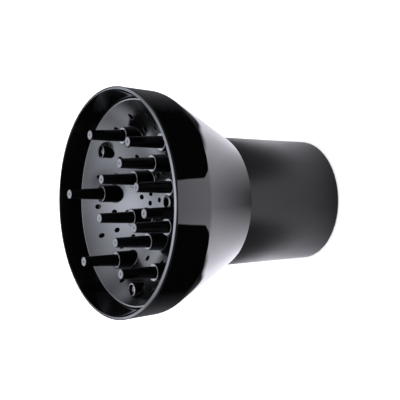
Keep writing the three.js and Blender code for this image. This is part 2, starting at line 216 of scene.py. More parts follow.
def arc_points(before, corner, after, radius):
    """The arc that rounds a corner of an outline, with a support point just outside each end."""
    here = Vector(corner)
    back = (Vector(before) - here).normalized()
    ahead = (Vector(after) - here).normalized()
    half = back.angle(ahead) / 2
    reach = radius / math.tan(half)
    start, end = here + back * reach, here + ahead * reach
    centre = here + (back + ahead).normalized() * (radius / math.sin(half))
    sweep = (start - centre).angle(end - centre)
    turn = math.copysign(1, (start - centre).cross(end - centre))
    step = WIDE_ARC_STEP if radius > WIDE_ROUND else FINE_ARC_STEP
    count = max(2, math.ceil(math.degrees(sweep) / step))
    arm = start - centre
    points = [start + back * SUPPORT]
    for i in range(count + 1):
        angle = turn * sweep * i / count
        cos, sin = math.cos(angle), math.sin(angle)
        points.append(centre + Vector((arm.x * cos - arm.y * sin, arm.x * sin + arm.y * cos)))
    points.append(end + ahead * SUPPORT)
    return [tuple(point) for point in points]


def outline(*corners):
    """Points of a closed outline from corners (radius, z) or (radius, z, round)."""
    points = []
    for i, corner in enumerate(corners):
        before = corners[i - 1][:2]
        after = corners[(i + 1) % len(corners)][:2]
        if len(corner) == 2:
            points.append(corner)
        else:
            points += arc_points(before, corner[:2], after, corner[2])
    return points


def turned(name, profile, steps):
    """Turns a closed outline of (radius, z) points about +Z. Points at radius 0 become one vertex."""
    points, rings = [], []
    for radius, z in profile:
        if radius < 1e-6:
            rings.append([len(points)] * steps)
            points.append((0, 0, z))
            continue
        rings.append(list(range(len(points), len(points) + steps)))
        for i in range(steps):
            angle = 2 * math.pi * i / steps
            points.append((radius * math.cos(angle), radius * math.sin(angle), z))
    faces = []
    for k, ring in enumerate(rings):
        following = rings[(k + 1) % len(rings)]
        for i in range(steps):
            j = (i + 1) % steps
            corners = [ring[i], ring[j], following[j], following[i]]
            unique = list(dict.fromkeys(corners))
            if len(unique) > 2:
                faces.append(unique)
    return mesh_from(points, faces, name)


def weight_normals(piece):
    """Lets wide faces keep their own normals beside the narrow faces of a round."""
    modifier = piece.modifiers.new("even_shading", "WEIGHTED_NORMAL")
    modifier.keep_sharp = True
    modifier.weight = 60
    return piece


def joined(name, meshes):
    """One mesh that holds several separate solids, each with a transform."""
    work = bmesh.new()
    for mesh, place in meshes:
        copy = mesh.copy()
        copy.transform(place)
        work.from_mesh(copy)
        bpy.data.meshes.remove(copy)
    result = bpy.data.meshes.new(name)
    work.to_mesh(result)
    work.free()
    return result


def combined(mesh, other, operation):
    """The exact boolean of two meshes, as a new mesh."""
    first = bpy.data.objects.new("work", mesh)
    second = bpy.data.objects.new("tool", other)
    for thing in (first, second):
        bpy.context.scene.collection.objects.link(thing)
    modifier = first.modifiers.new("cut", "BOOLEAN")
    modifier.operation = operation
    modifier.solver = "EXACT"
    modifier.object = second
    graph = bpy.context.evaluated_depsgraph_get()
    result = bpy.data.meshes.new_from_object(first.evaluated_get(graph))
    for thing in (first, second):
        bpy.data.objects.remove(thing)
    return result


def at(x, y, z=0):
    return Matrix.Translation(Vector((x, y, z)) * MM)


# ---------------------------------------------------------------- the bell and its bezel


def band_radius(z):
    return RIM_RADIUS - BAND_TAPER * (RIM_Z - z)


def cone_radius(z):
    return BELL_END_RADIUS + CONE_TAPER * (z - BELL_END_Z)


def shoulder(band_inset, cone_inset):
    """Where the band and the cone meet, both moved inwards by a horizontal amount."""
    difference = band_radius(0) - band_inset - (cone_radius(0) - cone_inset)
    z = difference / (CONE_TAPER - BAND_TAPER)
    return band_radius(z) - band_inset, z


CONE_INSET = WALL * math.hypot(1, CONE_TAPER)


def post_mesh(name, radius, x, y, high, hole_radius=None, hole_low=None):
    """An upright post whose foot lies inside the cone's wall, or the hole to cut in it."""
    points, low_ring, high_ring = [], [], []
    edge = hole_radius or radius
    for i in range(SMALL_STEPS):
        angle = 2 * math.pi * i / SMALL_STEPS
        px, py = x + edge * math.cos(angle), y + edge * math.sin(angle)
        out = math.hypot(px, py)
        foot = BELL_END_Z + (out - BELL_END_RADIUS + CONE_INSET / 2) / CONE_TAPER
        low_ring.append(len(points))
        points.append((px, py, hole_low if hole_radius else foot))
        high_ring.append(len(points))
        points.append((px, py, high + (1 if hole_radius else 0)))
    faces = [low_ring[::-1], high_ring]
    for i in range(SMALL_STEPS):
        j = (i + 1) % SMALL_STEPS
        faces.append([low_ring[i], low_ring[j], high_ring[j], high_ring[i]])
    return mesh_from(points, faces, name)


def bell_mesh():
    outer_corner = shoulder(0, 0)
    inner_corner = shoulder(WALL, CONE_INSET)
    taper_z = BELL_TOP_Z - TOP_EDGE_TAPER_LENGTH
    shell = turned("bell_shell", outline(
        (OPENING_RADIUS, BELL_END_Z, 0.25),
        (BELL_END_RADIUS, BELL_END_Z, 0.35),
        (*outer_corner, SHOULDER_ROUND),
        (band_radius(BELL_TOP_Z), BELL_TOP_Z, 0.2),
        (band_radius(BELL_TOP_Z) - TOP_EDGE_WALL, BELL_TOP_Z, 0.2),
        (band_radius(taper_z) - WALL, taper_z),
        (*inner_corner, SHOULDER_ROUND - WALL),
        (cone_radius(LEDGE_Z) - CONE_INSET, LEDGE_Z, 0.5),
        (OPENING_RADIUS, LEDGE_Z, 0.3),
    ), BIG_STEPS)
    plate_top = span("plate_screw_1")[1].z - SCREW_HEAD_HEIGHT - BOSS["floor"] - 2 * GAP
    clamp_top = span("clamp_screw_1")[1].z - SCREW_HEAD_HEIGHT - RING_FOOT - 2 * GAP
    posts, holes = [], []
    for kind, radius, top in (("plate_screw_", POST_RADIUS, plate_top),
                              ("clamp_screw_", CLAMP_POST_RADIUS, clamp_top)):
        for name in nodes_named(kind):
            x, y = centre_of(name)
            hole_low = span(name)[0].z - 0.5
            posts.append((post_mesh("post", radius, x, y, top), Matrix()))
            holes.append((post_mesh("hole", radius, x, y, top, PILOT_RADIUS, hole_low), Matrix()))
    shell = combined(shell, joined("posts", posts), "UNION")
    return combined(shell, joined("holes", holes), "DIFFERENCE")


def bezel_mesh():
    lip_bottom = RIM_Z - LIP_THICKNESS
    shaft_radius = band_radius(lip_bottom) - TOP_EDGE_WALL - GAP
    wall_foot = MARGIN_OUTER_RADIUS + GAP
    ledge_top = MARGIN_Z - PLATE_THICKNESS - GAP
    ledge_inner = MARGIN_INNER_RADIUS + GAP / 3
    return turned("rim_bezel", outline(
        (ledge_inner, BEZEL_FOOT_Z, 0.3),
        (wall_foot + BEZEL_WALL / 3, BEZEL_FOOT_Z, 0.3),
        (wall_foot + BEZEL_WALL, MARGIN_Z),
        (shaft_radius, lip_bottom, 0.2),
        (RIM_RADIUS, lip_bottom, 0.15),
        (RIM_RADIUS, RIM_Z - LIP_DROP, LIP_ROUND),
        (LIP_INNER_RADIUS, RIM_Z, 0.25),
        (wall_foot, MARGIN_Z),
        (wall_foot, ledge_top, 0.2),
        (ledge_inner, ledge_top, 0.3),
    ), BIG_STEPS)


# ---------------------------------------------------------------- the finger plate


def dish_z(x, y):
    """Height of the dish's upper surface, in millimetres."""
    return DISH_BOTTOM_Z + DISH_RADIUS - math.sqrt(DISH_RADIUS ** 2 - x * x - y * y)


def under_z(x, y):
    """Height of the dish's lower surface."""
    radius = DISH_RADIUS + PLATE_THICKNESS
    return DISH_BOTTOM_Z + DISH_RADIUS - math.sqrt(radius ** 2 - x * x - y * y)


def above_dish(rise):
    return lambda x, y: dish_z(x, y) + rise


def above_under(rise):
    return lambda x, y: under_z(x, y) + rise


def level(z):
    return lambda x, y: z


def air_hole_rings():
    chamfer = AIR_HOLE_CHAMFER
    return [
        (AIR_HOLE_RADIUS + chamfer, above_dish(0)),
        (AIR_HOLE_RADIUS + 0.3 * chamfer, above_dish(-0.3 * chamfer)),
        (AIR_HOLE_RADIUS, above_dish(-chamfer)),
        (AIR_HOLE_RADIUS, above_under(0)),
    ]


def socket_rings(top):
    """A socket: a foot round, a slightly conical wall, a flat mouth and the bore through the plate."""
    bore = SPIGOT_RADIUS + GAP
    return [
        (SOCKET_FOOT_RADIUS + 0.5, above_dish(0)),
        (SOCKET_FOOT_RADIUS + 0.2, above_dish(0.12)),
        (SOCKET_FOOT_RADIUS, above_dish(0.45)),
        (SOCKET_FOOT_RADIUS - 0.02, above_dish(0.8)),
        (SOCKET_TOP_RADIUS, level(top - 0.75)),
        (SOCKET_TOP_RADIUS, level(top - 0.42)),
        (SOCKET_TOP_RADIUS - 0.09, level(top - 0.16)),
        (SOCKET_TOP_RADIUS - 0.36, level(top)),
        (SOCKET_TOP_RADIUS - 0.6, level(top)),
        (bore + 0.3, level(top)),
        (bore + 0.12, level(top)),
        (bore, level(top - 0.15)),
        (bore, above_under(0.3)),
        (bore, above_under(0)),
    ]


def recess_rings(size, seat, foot_round):
    """A counterbore for a screw head, its clearance hole and the boss under the plate."""
    bottom = seat - size["floor"]
    return [
        (size["recess"], level(seat)),
        (PILOT_RADIUS, level(seat)),
        (PILOT_RADIUS, level(bottom)),
        (size["radius"] - 0.2, level(bottom)),
        (size["radius"], level(bottom + 0.2)),
        (size["radius"], above_under(-foot_round)),
        (size["radius"] + foot_round, above_under(0)),
    ]


def boss_rings(seat):
    """A plate-screw boss: a thin-walled tube that stands out of the dish."""
    radius, recess, top = BOSS["radius"], BOSS["recess"], BOSS["top_z"]
    return [
        (radius + 0.28, above_dish(0)),
        (radius + 0.1, above_dish(0.06)),
        (radius, above_dish(0.24)),
        (radius, level(top - 0.2)),
        (radius - 0.06, level(top - 0.06)),
        (radius - 0.2, level(top)),
        (recess + 0.18, level(top)),
        (recess, level(top - 0.18)),
    ] + recess_rings(BOSS, seat, 0.2)


def centre_rings(seat):
    """The low boss in the middle of the dish: a generously rounded edge and a deep counterbore."""
    radius, recess, top, edge = (CENTRE_BOSS[key] for key in ("radius", "recess", "top_z", "round"))
    rings = [
        (radius + 0.3, above_dish(0)),
        (radius + 0.1, above_dish(0.06)),
    ]
    for angle in range(0, 91, 15):
        turn = math.radians(angle)
        rings.append((radius - edge * (1 - math.cos(turn)), level(top - edge * (1 - math.sin(turn)))))
    rings += [(recess + 0.15, level(top)), (recess, level(top - 0.15))]
    return rings + recess_rings(CENTRE_BOSS, seat, 0.3)


def plate_features():
    """Every ring stack through the plate: its middle, its number of steps and its rings from top down."""
    features = []
    for name in nodes_named("outer_finger") + nodes_named("inner_finger"):
        socket_top = span(name)[0].z + SPIGOT_LENGTH - GAP
        features.append((centre_of(name), SMALL_STEPS, socket_rings(socket_top)))
    for name in nodes_named("plate_screw"):
        seat = span(name)[1].z - SCREW_HEAD_HEIGHT - GAP
        features.append((centre_of(name), SMALL_STEPS, boss_rings(seat)))
    seat = span("deflector_screw")[1].z - SCREW_HEAD_HEIGHT - GAP
    features.append(((0, 0), SMALL_STEPS, centre_rings(seat)))
    for ring in AIR_HOLE_RINGS:
        for turn in range(0, 360, ring["period"]):
            for angle in ring["angles"]:
                bearing = math.radians(turn + angle)
                middle = (ring["radius"] * math.cos(bearing), ring["radius"] * math.sin(bearing))
                features.append((middle, HOLE_STEPS, air_hole_rings()))
    return features


def circle(middle, radius, steps):
    angles = [2 * math.pi * i / steps for i in range(steps)]
    return [(middle[0] + radius * math.cos(a), middle[1] + radius * math.sin(a)) for a in angles]


def grid_points(edge_radius, circles):
    """A triangular grid of (x, y) points inside the edge and clear of every circle."""
    points = []
    row_step = PLATE_GRID * math.sqrt(3) / 2
    rows = math.ceil(edge_radius / row_step)
    for row in range(-rows, rows + 1):
        shift = (row % 2) * PLATE_GRID / 2
        columns = math.ceil(edge_radius / PLATE_GRID) + 1
        for column in range(-columns, columns + 1):
            x, y = column * PLATE_GRID + shift, row * row_step
            if math.hypot(x, y) > edge_radius - PLATE_GRID / 2:
                continue
            if all(math.hypot(x - cx, y - cy) > r + PLATE_GRID * 0.4 for (cx, cy), r in circles):
                points.append((x, y))
    return points


def perforated_sheet(edge_ring, loops):
    """Triangles of a flat sheet inside edge_ring with the loops left open.

    Returns the extra grid points and the triangles. Triangle numbers count the edge ring's
    points first, then each loop's points, then the grid's.
    """
    flat, edges = [], []
    for ring in [edge_ring] + [points for _, _, points in loops]:
        first = len(flat)
        flat += ring
        edges += [(first + i, first + (i + 1) % len(ring)) for i in range(len(ring))]
    circles = [(middle, radius) for middle, radius, _ in loops]
    edge_radius = math.hypot(*edge_ring[0])
    grid = grid_points(edge_radius, circles)
    made = delaunay_2d_cdt([Vector(p) for p in flat + grid], edges, [], 0, 1e-6, True)
    spots, _, faces, sources, _, _ = made
    triangles = []
    for face in faces:
        middle = sum((spots[i] for i in face), Vector((0, 0))) / 3
        open_here = any(math.hypot(middle.x - cx, middle.y - cy) < r * 0.999
                        and all(sources[i][0] < len(flat) for i in face)
                        for (cx, cy), r in circles)
        if not open_here:
            triangles.append([sources[i][0] for i in face])
    return grid, triangles


def plate_mesh():
    """One closed mesh: the dish, its underside, the margin and every ring stack between them."""
    features = plate_features()
    points, faces, dish_faces = [], [], set()

    def add_ring(spots, height):
        first = len(points)
        points.extend((x, y, height(x, y)) for x, y in spots)
        return list(range(first, len(points)))

    def bridge(ring, following):
        for i in range(len(ring)):
            j = (i + 1) % len(ring)
            faces.append([ring[i], ring[j], following[j], following[i]])

    top_loops, under_loops = [], []
    for middle, steps, rings in features:
        stack = [add_ring(circle(middle, radius, steps), height) for radius, height in rings]
        for ring, following in zip(stack, stack[1:]):
            bridge(ring, following)
        top_loops.append((middle, rings[0][0], steps, stack[0]))
        under_loops.append((middle, rings[-1][0], steps, stack[-1]))

    margin = [
        (MARGIN_INNER_RADIUS, above_dish(0)),
        (MARGIN_INNER_RADIUS + 0.15, level(MARGIN_Z - 0.05)),
        (MARGIN_INNER_RADIUS + 0.35, level(MARGIN_Z)),
        (MARGIN_OUTER_RADIUS - 0.3, level(MARGIN_Z)),
        (MARGIN_OUTER_RADIUS, level(MARGIN_Z - 0.3)),
        (MARGIN_OUTER_RADIUS, level(MARGIN_Z - PLATE_THICKNESS + 0.2)),
        (MARGIN_OUTER_RADIUS - 0.2, level(MARGIN_Z - PLATE_THICKNESS)),
        (MARGIN_INNER_RADIUS - 0.1, level(MARGIN_Z - PLATE_THICKNESS)),
        (UNDER_EDGE_RADIUS, above_under(0)),
    ]
    stack = [add_ring(circle((0, 0), radius, BIG_STEPS), height) for radius, height in margin]
    for ring, following in zip(stack, stack[1:]):
        bridge(ring, following)

    for loops, edge, height, is_dish in ((top_loops, stack[0], dish_z, True),
                                         (under_loops, stack[-1], under_z, False)):
        rings = [(middle, radius, circle(middle, radius, steps)) for middle, radius, steps, _ in loops]
        edge_spots = [points[i][:2] for i in edge]
        numbers = list(edge) + [i for loop in loops for i in loop[3]]
        grid, triangles = perforated_sheet(edge_spots, rings)
        numbers += add_ring(grid, height)
        for triangle in triangles:
            if is_dish:
                dish_faces.add(len(faces))
            faces.append([numbers[i] for i in triangle])
    mesh = mesh_from(points, faces, "finger_plate")
    shade_smooth(mesh)
    follow_sphere(mesh, dish_faces)
    return mesh


def follow_sphere(mesh, dish_faces):
    """Gives the dish's faces the exact normals of its sphere, so that it mirrors cleanly."""
    centre = Vector((0, 0, (DISH_BOTTOM_Z + DISH_RADIUS) * MM))
    normals = [Vector((0, 0, 0))] * len(mesh.loops)
    for polygon in mesh.polygons:
        if polygon.index in dish_faces:
            for loop in polygon.loop_indices:
                place = mesh.vertices[mesh.loops[loop].vertex_index].co
                normals[loop] = (centre - place).normalized()
    mesh.normals_split_custom_set(normals)


# ---------------------------------------------------------------- fingers, screws and deflector


def finger_mesh():
    """A finger with its foot at z = 0 and its spigot below."""
    length = span("outer_finger_1")[1].z - span("outer_finger_1")[0].z - SPIGOT_LENGTH
    return turned("finger", outline(
        (AIR_CHANNEL_RADIUS, -SPIGOT_LENGTH, 0.15),
        (SPIGOT_RADIUS, -SPIGOT_LENGTH, 0.35),
        (SPIGOT_RADIUS, 0),
        (FINGER_FOOT_RADIUS, 0, 0.15),
        (FINGER_TIP_RADIUS, length, FINGER_TIP_ROUND),
        (TIP_HOLE_RADIUS, length, 0.12),
        (TIP_HOLE_RADIUS, length - TIP_WALL),
        (AIR_CHANNEL_RADIUS, length - 2 * TIP_WALL),
    ), SMALL_STEPS)


def cross_recess():
    """A tapered cross-shaped plug that cuts the drive recess of a screw."""
    arm, half = 1.6, 0.4
    above, depth = 0.4, 1.15
    mouth_scale, bottom_scale = 1.12, 0.5
    shape = [(arm, -half), (arm, half), (half, half), (half, arm), (-half, arm), (-half, half),
             (-arm, half), (-arm, -half), (-half, -half), (-half, -arm), (half, -arm), (half, -half)]
    levels = [(SCREW_HEAD_HEIGHT + above, mouth_scale), (SCREW_HEAD_HEIGHT - depth, bottom_scale)]
    points = [(x * scale, y * scale, z) for z, scale in levels for x, y in shape]
    count = len(shape)
    faces = [list(range(count)), list(range(2 * count - 1, count - 1, -1))]
    faces += [[i, (i + 1) % count, count + (i + 1) % count, count + i] for i in range(count)]
    return mesh_from(points, faces, "cross")


def screw_mesh(length):
    """A pan-head screw with its seat at z = 0. The shank carries a running thread and a point."""
    columns = 24
    rows_per_pitch = 6
    top = -0.6
    tip = 2.2
    groove = 0.25
    point_share = 0.08
    rows = math.ceil((length + top) / THREAD_PITCH * rows_per_pitch)
    points, rings = [], []

    def add_ring(radius_at, z):
        rings.append(list(range(len(points), len(points) + columns)))
        for i in range(columns):
            angle = 2 * math.pi * i / columns
            radius = radius_at(angle)
            points.append((radius * math.cos(angle), radius * math.sin(angle), z))

    head = SCREW_HEAD_HEIGHT
    for radius, z in ((0.9, head), (1.6, head * 0.95), (2.1, head * 0.82), (2.38, head * 0.62),
                      (SCREW_HEAD_RADIUS, head * 0.36), (SCREW_HEAD_RADIUS, 0.1), (2.4, 0),
                      (SHANK_RADIUS + 0.15, 0), (SHANK_RADIUS, -0.15), (SHANK_RADIUS, top)):
        add_ring(lambda angle, radius=radius: radius, z)
    for row in range(1, rows):
        z = top - (length + top) * row / rows
        taper = min(1, (z + length) / tip)
        fade = min(1, (top - z) / THREAD_PITCH) * taper

        def thread(angle, z=z, taper=taper, fade=fade):
            phase = (z / THREAD_PITCH - angle / (2 * math.pi)) % 1
            crest = max(0, 1 - abs(phase - 0.5) * 4)
            core = (SHANK_RADIUS - groove) * max(taper, point_share)
            return core + (groove + THREAD_CREST) * crest * fade
        add_ring(thread, z)
    faces = []
    for ring, following in zip(rings, rings[1:]):
        for i in range(columns):
            j = (i + 1) % columns
            faces.append([ring[i], ring[j], following[j], following[i]])
    faces += [rings[0], rings[-1][::-1]]
    return combined(mesh_from(points, faces, "screw"), cross_recess(), "DIFFERENCE")


def deflector_mesh():
    radius = DEFLECTOR_HIGH.x
    tip, stem_top = DEFLECTOR_LOW.z, DEFLECTOR_HIGH.z
    slope = (DEFLECTOR_RIM_Z - tip) / radius
    hole_low = span("deflector_screw")[0].z - 1
    profile = outline(
        (0, tip),
        (radius, DEFLECTOR_RIM_Z, 0.5),
        (radius, DEFLECTOR_RIM_Z + DEFLECTOR_WALL, 0.5),
        (STEM_RADIUS, tip + slope * STEM_RADIUS + DEFLECTOR_WALL, 2),
        (STEM_RADIUS, stem_top, 0.3),
        (PILOT_RADIUS, stem_top, 0.2),
        (PILOT_RADIUS, hole_low),
        (0, hole_low),
    )
    return turned("air_deflector", profile, BIG_STEPS // 2)


# ---------------------------------------------------------------- the neck sleeve


def sleeve_radius(z):
    """Outer radius of the sleeve below the bell."""
    return SLEEVE_END_RADIUS + (SLEEVE_TOP_RADIUS - SLEEVE_END_RADIUS) * z / BELL_END_Z


def fin_height(z):
    """How far a fin stands in from the bore's wall at a height."""
    rise = min((z - FIN_LOW_Z) / FIN_SLOPE, (FIN_HIGH_Z - z) / FIN_SLOPE, 1)
    full = sleeve_radius(z) - SLEEVE_WALL - FIN_INNER_RADIUS
    return full * max(0, min(1, rise))


def sleeve_columns():
    """Columns round the sleeve as (angle, share of the fin's height there)."""
    columns = []
    pitch = 2 * math.pi / FIN_COUNT
    inner = SLEEVE_END_RADIUS - SLEEVE_WALL
    between = 12
    root, tip = FIN_ROOT_HALF / inner, FIN_TIP_HALF / FIN_INNER_RADIUS
    for fin in range(FIN_COUNT):
        middle = (fin + 0.5) * pitch
        fin_profile = ((-root, 0), (-tip * 0.98, 0.9), (-tip * 0.75, 0.985), (0, 1),
                       (tip * 0.75, 0.985), (tip * 0.98, 0.9), (root, 0))
        columns += [(middle + offset, share) for offset, share in fin_profile]
        for i in range(1, between):
            columns.append((middle + root + (pitch - 2 * root) * i / between, 0))
    return columns


def sleeve_mesh():
    """The sleeve as one skin: outside, flange, and the finned bore."""
    flange_low = SLEEVE_TOP_Z - FLANGE_THICKNESS
    inner_top = SLEEVE_TOP_RADIUS - SLEEVE_WALL
    outside = outline(
        (SLEEVE_END_RADIUS - SLEEVE_WALL, 0, 0.5),
        (SLEEVE_END_RADIUS, 0, 0.8),
        (SLEEVE_TOP_RADIUS, BELL_END_Z),
        (SLEEVE_TOP_RADIUS, flange_low, 0.3),
        (FLANGE_RADIUS, flange_low, 0.4),
        (FLANGE_RADIUS, SLEEVE_TOP_Z, 0.4),
        (inner_top, SLEEVE_TOP_Z, 0.4),
        (inner_top, BELL_END_Z),
    )
    fin_rows = [FIN_HIGH_Z + 0.3, FIN_HIGH_Z, FIN_HIGH_Z - FIN_SLOPE, FIN_LOW_Z + FIN_SLOPE,
                FIN_LOW_Z, FIN_LOW_Z - 0.3]
    extra = [z for high, low in zip(fin_rows[1:], fin_rows[2:])
             for z in (high - (high - low) / 4, (high + low) / 2, low + (high - low) / 4)
             if high - low > 1]
    rows = sorted(set(fin_rows + extra), reverse=True)
    profile = [(radius, z, False) for radius, z in outside]
    profile += [(sleeve_radius(z) - SLEEVE_WALL, z, True) for z in rows]
    columns = sleeve_columns()
    points = []
    for radius, z, finned in profile:
        for angle, share in columns:
            out = radius - (fin_height(z) * share if finned else 0)
            points.append((out * math.cos(angle), out * math.sin(angle), z))
    count, faces = len(columns), []
    for k in range(len(profile)):
        following = (k + 1) % len(profile)
        for i in range(count):
            j = (i + 1) % count
            faces.append([k * count + i, k * count + j, following * count + j, following * count + i])
    return mesh_from(points, faces, "neck_sleeve")


# ---------------------------------------------------------------- materials


class Nodes:
    """Short calls for building a node tree."""

    def __init__(self, tree):
        self.tree = tree

    def add(self, kind, inputs=None, **settings):
        node = self.tree.nodes.new(kind)
        for key, value in settings.items():
            setattr(node, key, value)
        for key, value in (inputs or {}).items():
            socket = node.inputs[key]
            if isinstance(value, bpy.types.NodeSocket):
                self.tree.links.new(value, socket)
            else:
                socket.default_value = value
        return node

    def math(self, operation, a, b=0.0, clamp=False):
        return self.add("ShaderNodeMath", {0: a, 1: b}, operation=operation, use_clamp=clamp).outputs[0]

    def noise(self, where, scale, detail=2.0, rough=0.5):
        settings = {"Vector": where, "Scale": scale, "Detail": detail, "Roughness": rough}
        return self.add("ShaderNodeTexNoise", settings).outputs["Fac"]

    def remap(self, value, low, high, to_low, to_high, curve="LINEAR"):
        settings = {"Value": value, "From Min": low, "From Max": high, "To Min": to_low, "To Max": to_high}
        return self.add("ShaderNodeMapRange", settings, interpolation_type=curve).outputs["Result"]

    def dot(self, vector, axis):
        inputs = {0: vector, 1: tuple(axis)}
        return self.add("ShaderNodeVectorMath", inputs, operation="DOT_PRODUCT").outputs["Value"]

    def height(self):
        """Height above the neck's end, in metres."""
        place = self.add("ShaderNodeTexCoord").outputs["Object"]
        return self.add("ShaderNodeSeparateXYZ", {0: place}).outputs["Z"]

    def upwards(self):
        """How much the surface faces up: 1 for a level face, 0 for an upright one."""
        normal = self.add("ShaderNodeNewGeometry").outputs["Normal"]
        return self.add("ShaderNodeSeparateXYZ", {0: normal}).outputs["Z"]

    def mix(self, share, a, b):
        node = self.add("ShaderNodeMix", data_type="RGBA")
        for index, value in ((0, share), (6, a), (7, b)):
            if isinstance(value, bpy.types.NodeSocket):
                self.tree.links.new(value, node.inputs[index])
            else:
                node.inputs[index].default_value = value
        return node.outputs[2]

    def bump(self, height, distance, strength=1.0, normal=None):
        inputs = {"Height": height, "Distance": distance, "Strength": strength}
        if normal is not None:
            inputs["Normal"] = normal
        return self.add("ShaderNodeBump", inputs).outputs["Normal"]

    def edge(self, radius):
        """How strongly a point lies on a convex or concave edge, from 0 to 1."""
        soft = self.add("ShaderNodeBevel", {"Radius": radius}, samples=4).outputs["Normal"]
        hard = self.add("ShaderNodeNewGeometry").outputs["Normal"]
        dot = self.add("ShaderNodeVectorMath", {0: soft, 1: hard}, operation="DOT_PRODUCT").outputs["Value"]
        return self.remap(dot, 0.995, 0.8, 0.0, 1.0)


def new_material(name):
    """A material with a principled surface. Returns it, its node helper, the surface and a position."""
    material = bpy.data.materials.new(name)
    material.use_nodes = True
    tree = material.node_tree
    tree.nodes.clear()
    nodes = Nodes(tree)
    surface = nodes.add("ShaderNodeBsdfPrincipled")
    nodes.add("ShaderNodeOutputMaterial", {"Surface": surface.outputs["BSDF"]})
    place = nodes.add("ShaderNodeTexCoord").outputs["Object"]
    return material, nodes, surface, place


def set_surface(nodes, surface, **values):
    for key, value in values.items():
        socket = surface.inputs[key.replace("_", " ")]
        if isinstance(value, bpy.types.NodeSocket):
            nodes.tree.links.new(value, socket)
        else:
            socket.default_value = value


def stretched(nodes, place, x, y, z):
    """The position scaled by axis, for textures that run along one direction."""
    return nodes.add("ShaderNodeMapping", {"Vector": place, "Scale": (x, y, z)}).outputs["Vector"]


def black_plastic(name, low_rough, high_rough):
    """Polished black moulding: soft waviness, hairline scratches, a little dust and handled edges."""
    material, nodes, surface, place = new_material(name)
    clouds = nodes.noise(place, 28.0, 3.0)
    dust = nodes.remap(nodes.noise(place, 2600.0, 1.0), 0.74, 0.8, 0.0, 1.0)
    dust = nodes.math("MULTIPLY", dust, nodes.remap(clouds, 0.45, 0.7, 0.0, 0.5))
    hairlines = nodes.noise(stretched(nodes, place, 60.0, 60.0, 2200.0), 1.0, 2.0, 0.7)
    scratches = nodes.remap(hairlines, 0.68, 0.74, 0.0, 1.0)
    wear = nodes.math("MULTIPLY", nodes.edge(0.0005), nodes.remap(clouds, 0.4, 0.65, 0.2, 1.0))
    base = nodes.mix(clouds, (0.0004, 0.0004, 0.0005, 1), (0.0009, 0.0009, 0.0011, 1))
    base = nodes.mix(nodes.math("MULTIPLY", dust, 0.2), base, (0.10, 0.10, 0.11, 1))
    base = nodes.mix(nodes.math("MULTIPLY", wear, 0.10), base, (0.05, 0.05, 0.055, 1))
    rough = nodes.remap(clouds, 0.3, 0.7, low_rough, high_rough)
    rough = nodes.math("ADD", rough, nodes.math("MULTIPLY", scratches, 0.05))
    rough = nodes.math("ADD", rough, nodes.math("MULTIPLY", wear, 0.10))
    rough = nodes.math("ADD", rough, nodes.math("MULTIPLY", dust, 0.3), True)
    waves = nodes.bump(nodes.noise(place, 90.0, 1.0), 0.00002, 0.5)
    peel = nodes.bump(nodes.noise(place, 700.0, 1.0), 0.0000015, 0.6, waves)
    fine = nodes.bump(scratches, 0.0000015, 0.3, peel)
    set_surface(nodes, surface, Base_Color=base, Roughness=rough, IOR=1.5, Normal=fine)
    return material


# Strength of the plastic's mirror: full, turned down to paint shade on walls and finger sides, and on the
# worn finger tips.
FULL_MIRROR = 0.5
PAINTED_SHADE_MIRROR = 0.12
TIP_MIRROR = 0.3


def principled(material):
    """A material's surface node."""
    return next(node for node in material.node_tree.nodes if node.type == "BSDF_PRINCIPLED")


def plate_black():
    """The plate's plastic: satin, with painted shade on the steep walls of the sockets and bosses, whose
    mirror is turned down.
    """
    material = black_plastic("plate_black_plastic", 0.17, 0.22)
    nodes = Nodes(material.node_tree)
    # Painted shade: less mirror where the surface stands steep.
    mirror = nodes.remap(nodes.upwards(), 0.2, 0.5, PAINTED_SHADE_MIRROR, FULL_MIRROR)
    set_surface(nodes, principled(material), Specular_IOR_Level=mirror)
    return material


def bezel_black():
    """The bezel's plastic: polished on the lip, with painted shade on the wall below it, whose mirror is
    turned down.
    """
    material = black_plastic("bezel_black_plastic", 0.045, 0.085)
    nodes = Nodes(material.node_tree)
    lip_low, lip_high = (RIM_Z - 1.4) * MM, (RIM_Z - 1.0) * MM
    # Painted shade: the wall below the lip mirrors less than the lip.
    mirror = nodes.remap(nodes.height(), lip_low, lip_high, PAINTED_SHADE_MIRROR, FULL_MIRROR)
    set_surface(nodes, principled(material), Specular_IOR_Level=mirror)
    return material


def finger_black(ring, tip_z):
    """The plastic of the fingers: gloss black, rubbed to a dull grey on the tips that touch the scalp, with
    painted shade from a turned-down mirror.
    """
    material = black_plastic(ring + "_black_plastic", 0.10, 0.16)
    nodes = Nodes(material.node_tree)
    surface = principled(material)
    place = nodes.add("ShaderNodeTexCoord").outputs["Object"]
    rubbed = nodes.remap(nodes.height(), (tip_z - 1.0) * MM, (tip_z - 0.2) * MM, 0.0, 1.0)
    rubbed = nodes.math("MULTIPLY", rubbed, nodes.remap(nodes.upwards(), 0.5, 0.95, 0.0, 1.0))
    patches = nodes.remap(nodes.noise(place, 600.0, 2.0), 0.35, 0.65, 0.4, 1.0)
    patchy = nodes.math("MULTIPLY", rubbed, patches)
    for socket, worn in (("Base Color", (0.02, 0.02, 0.021, 1)), ("Roughness", (0.22, 0.22, 0.22, 1))):
        unworn = surface.inputs[socket].links[0].from_socket
        nodes.tree.links.new(nodes.mix(patchy, unworn, worn), surface.inputs[socket])
    # Painted shade: the fingers' mirror is turned down, less so on the worn tips.
    mirror = nodes.remap(patchy, 0, 1, PAINTED_SHADE_MIRROR, TIP_MIRROR)
    set_surface(nodes, surface, Specular_IOR_Level=mirror)
    return material


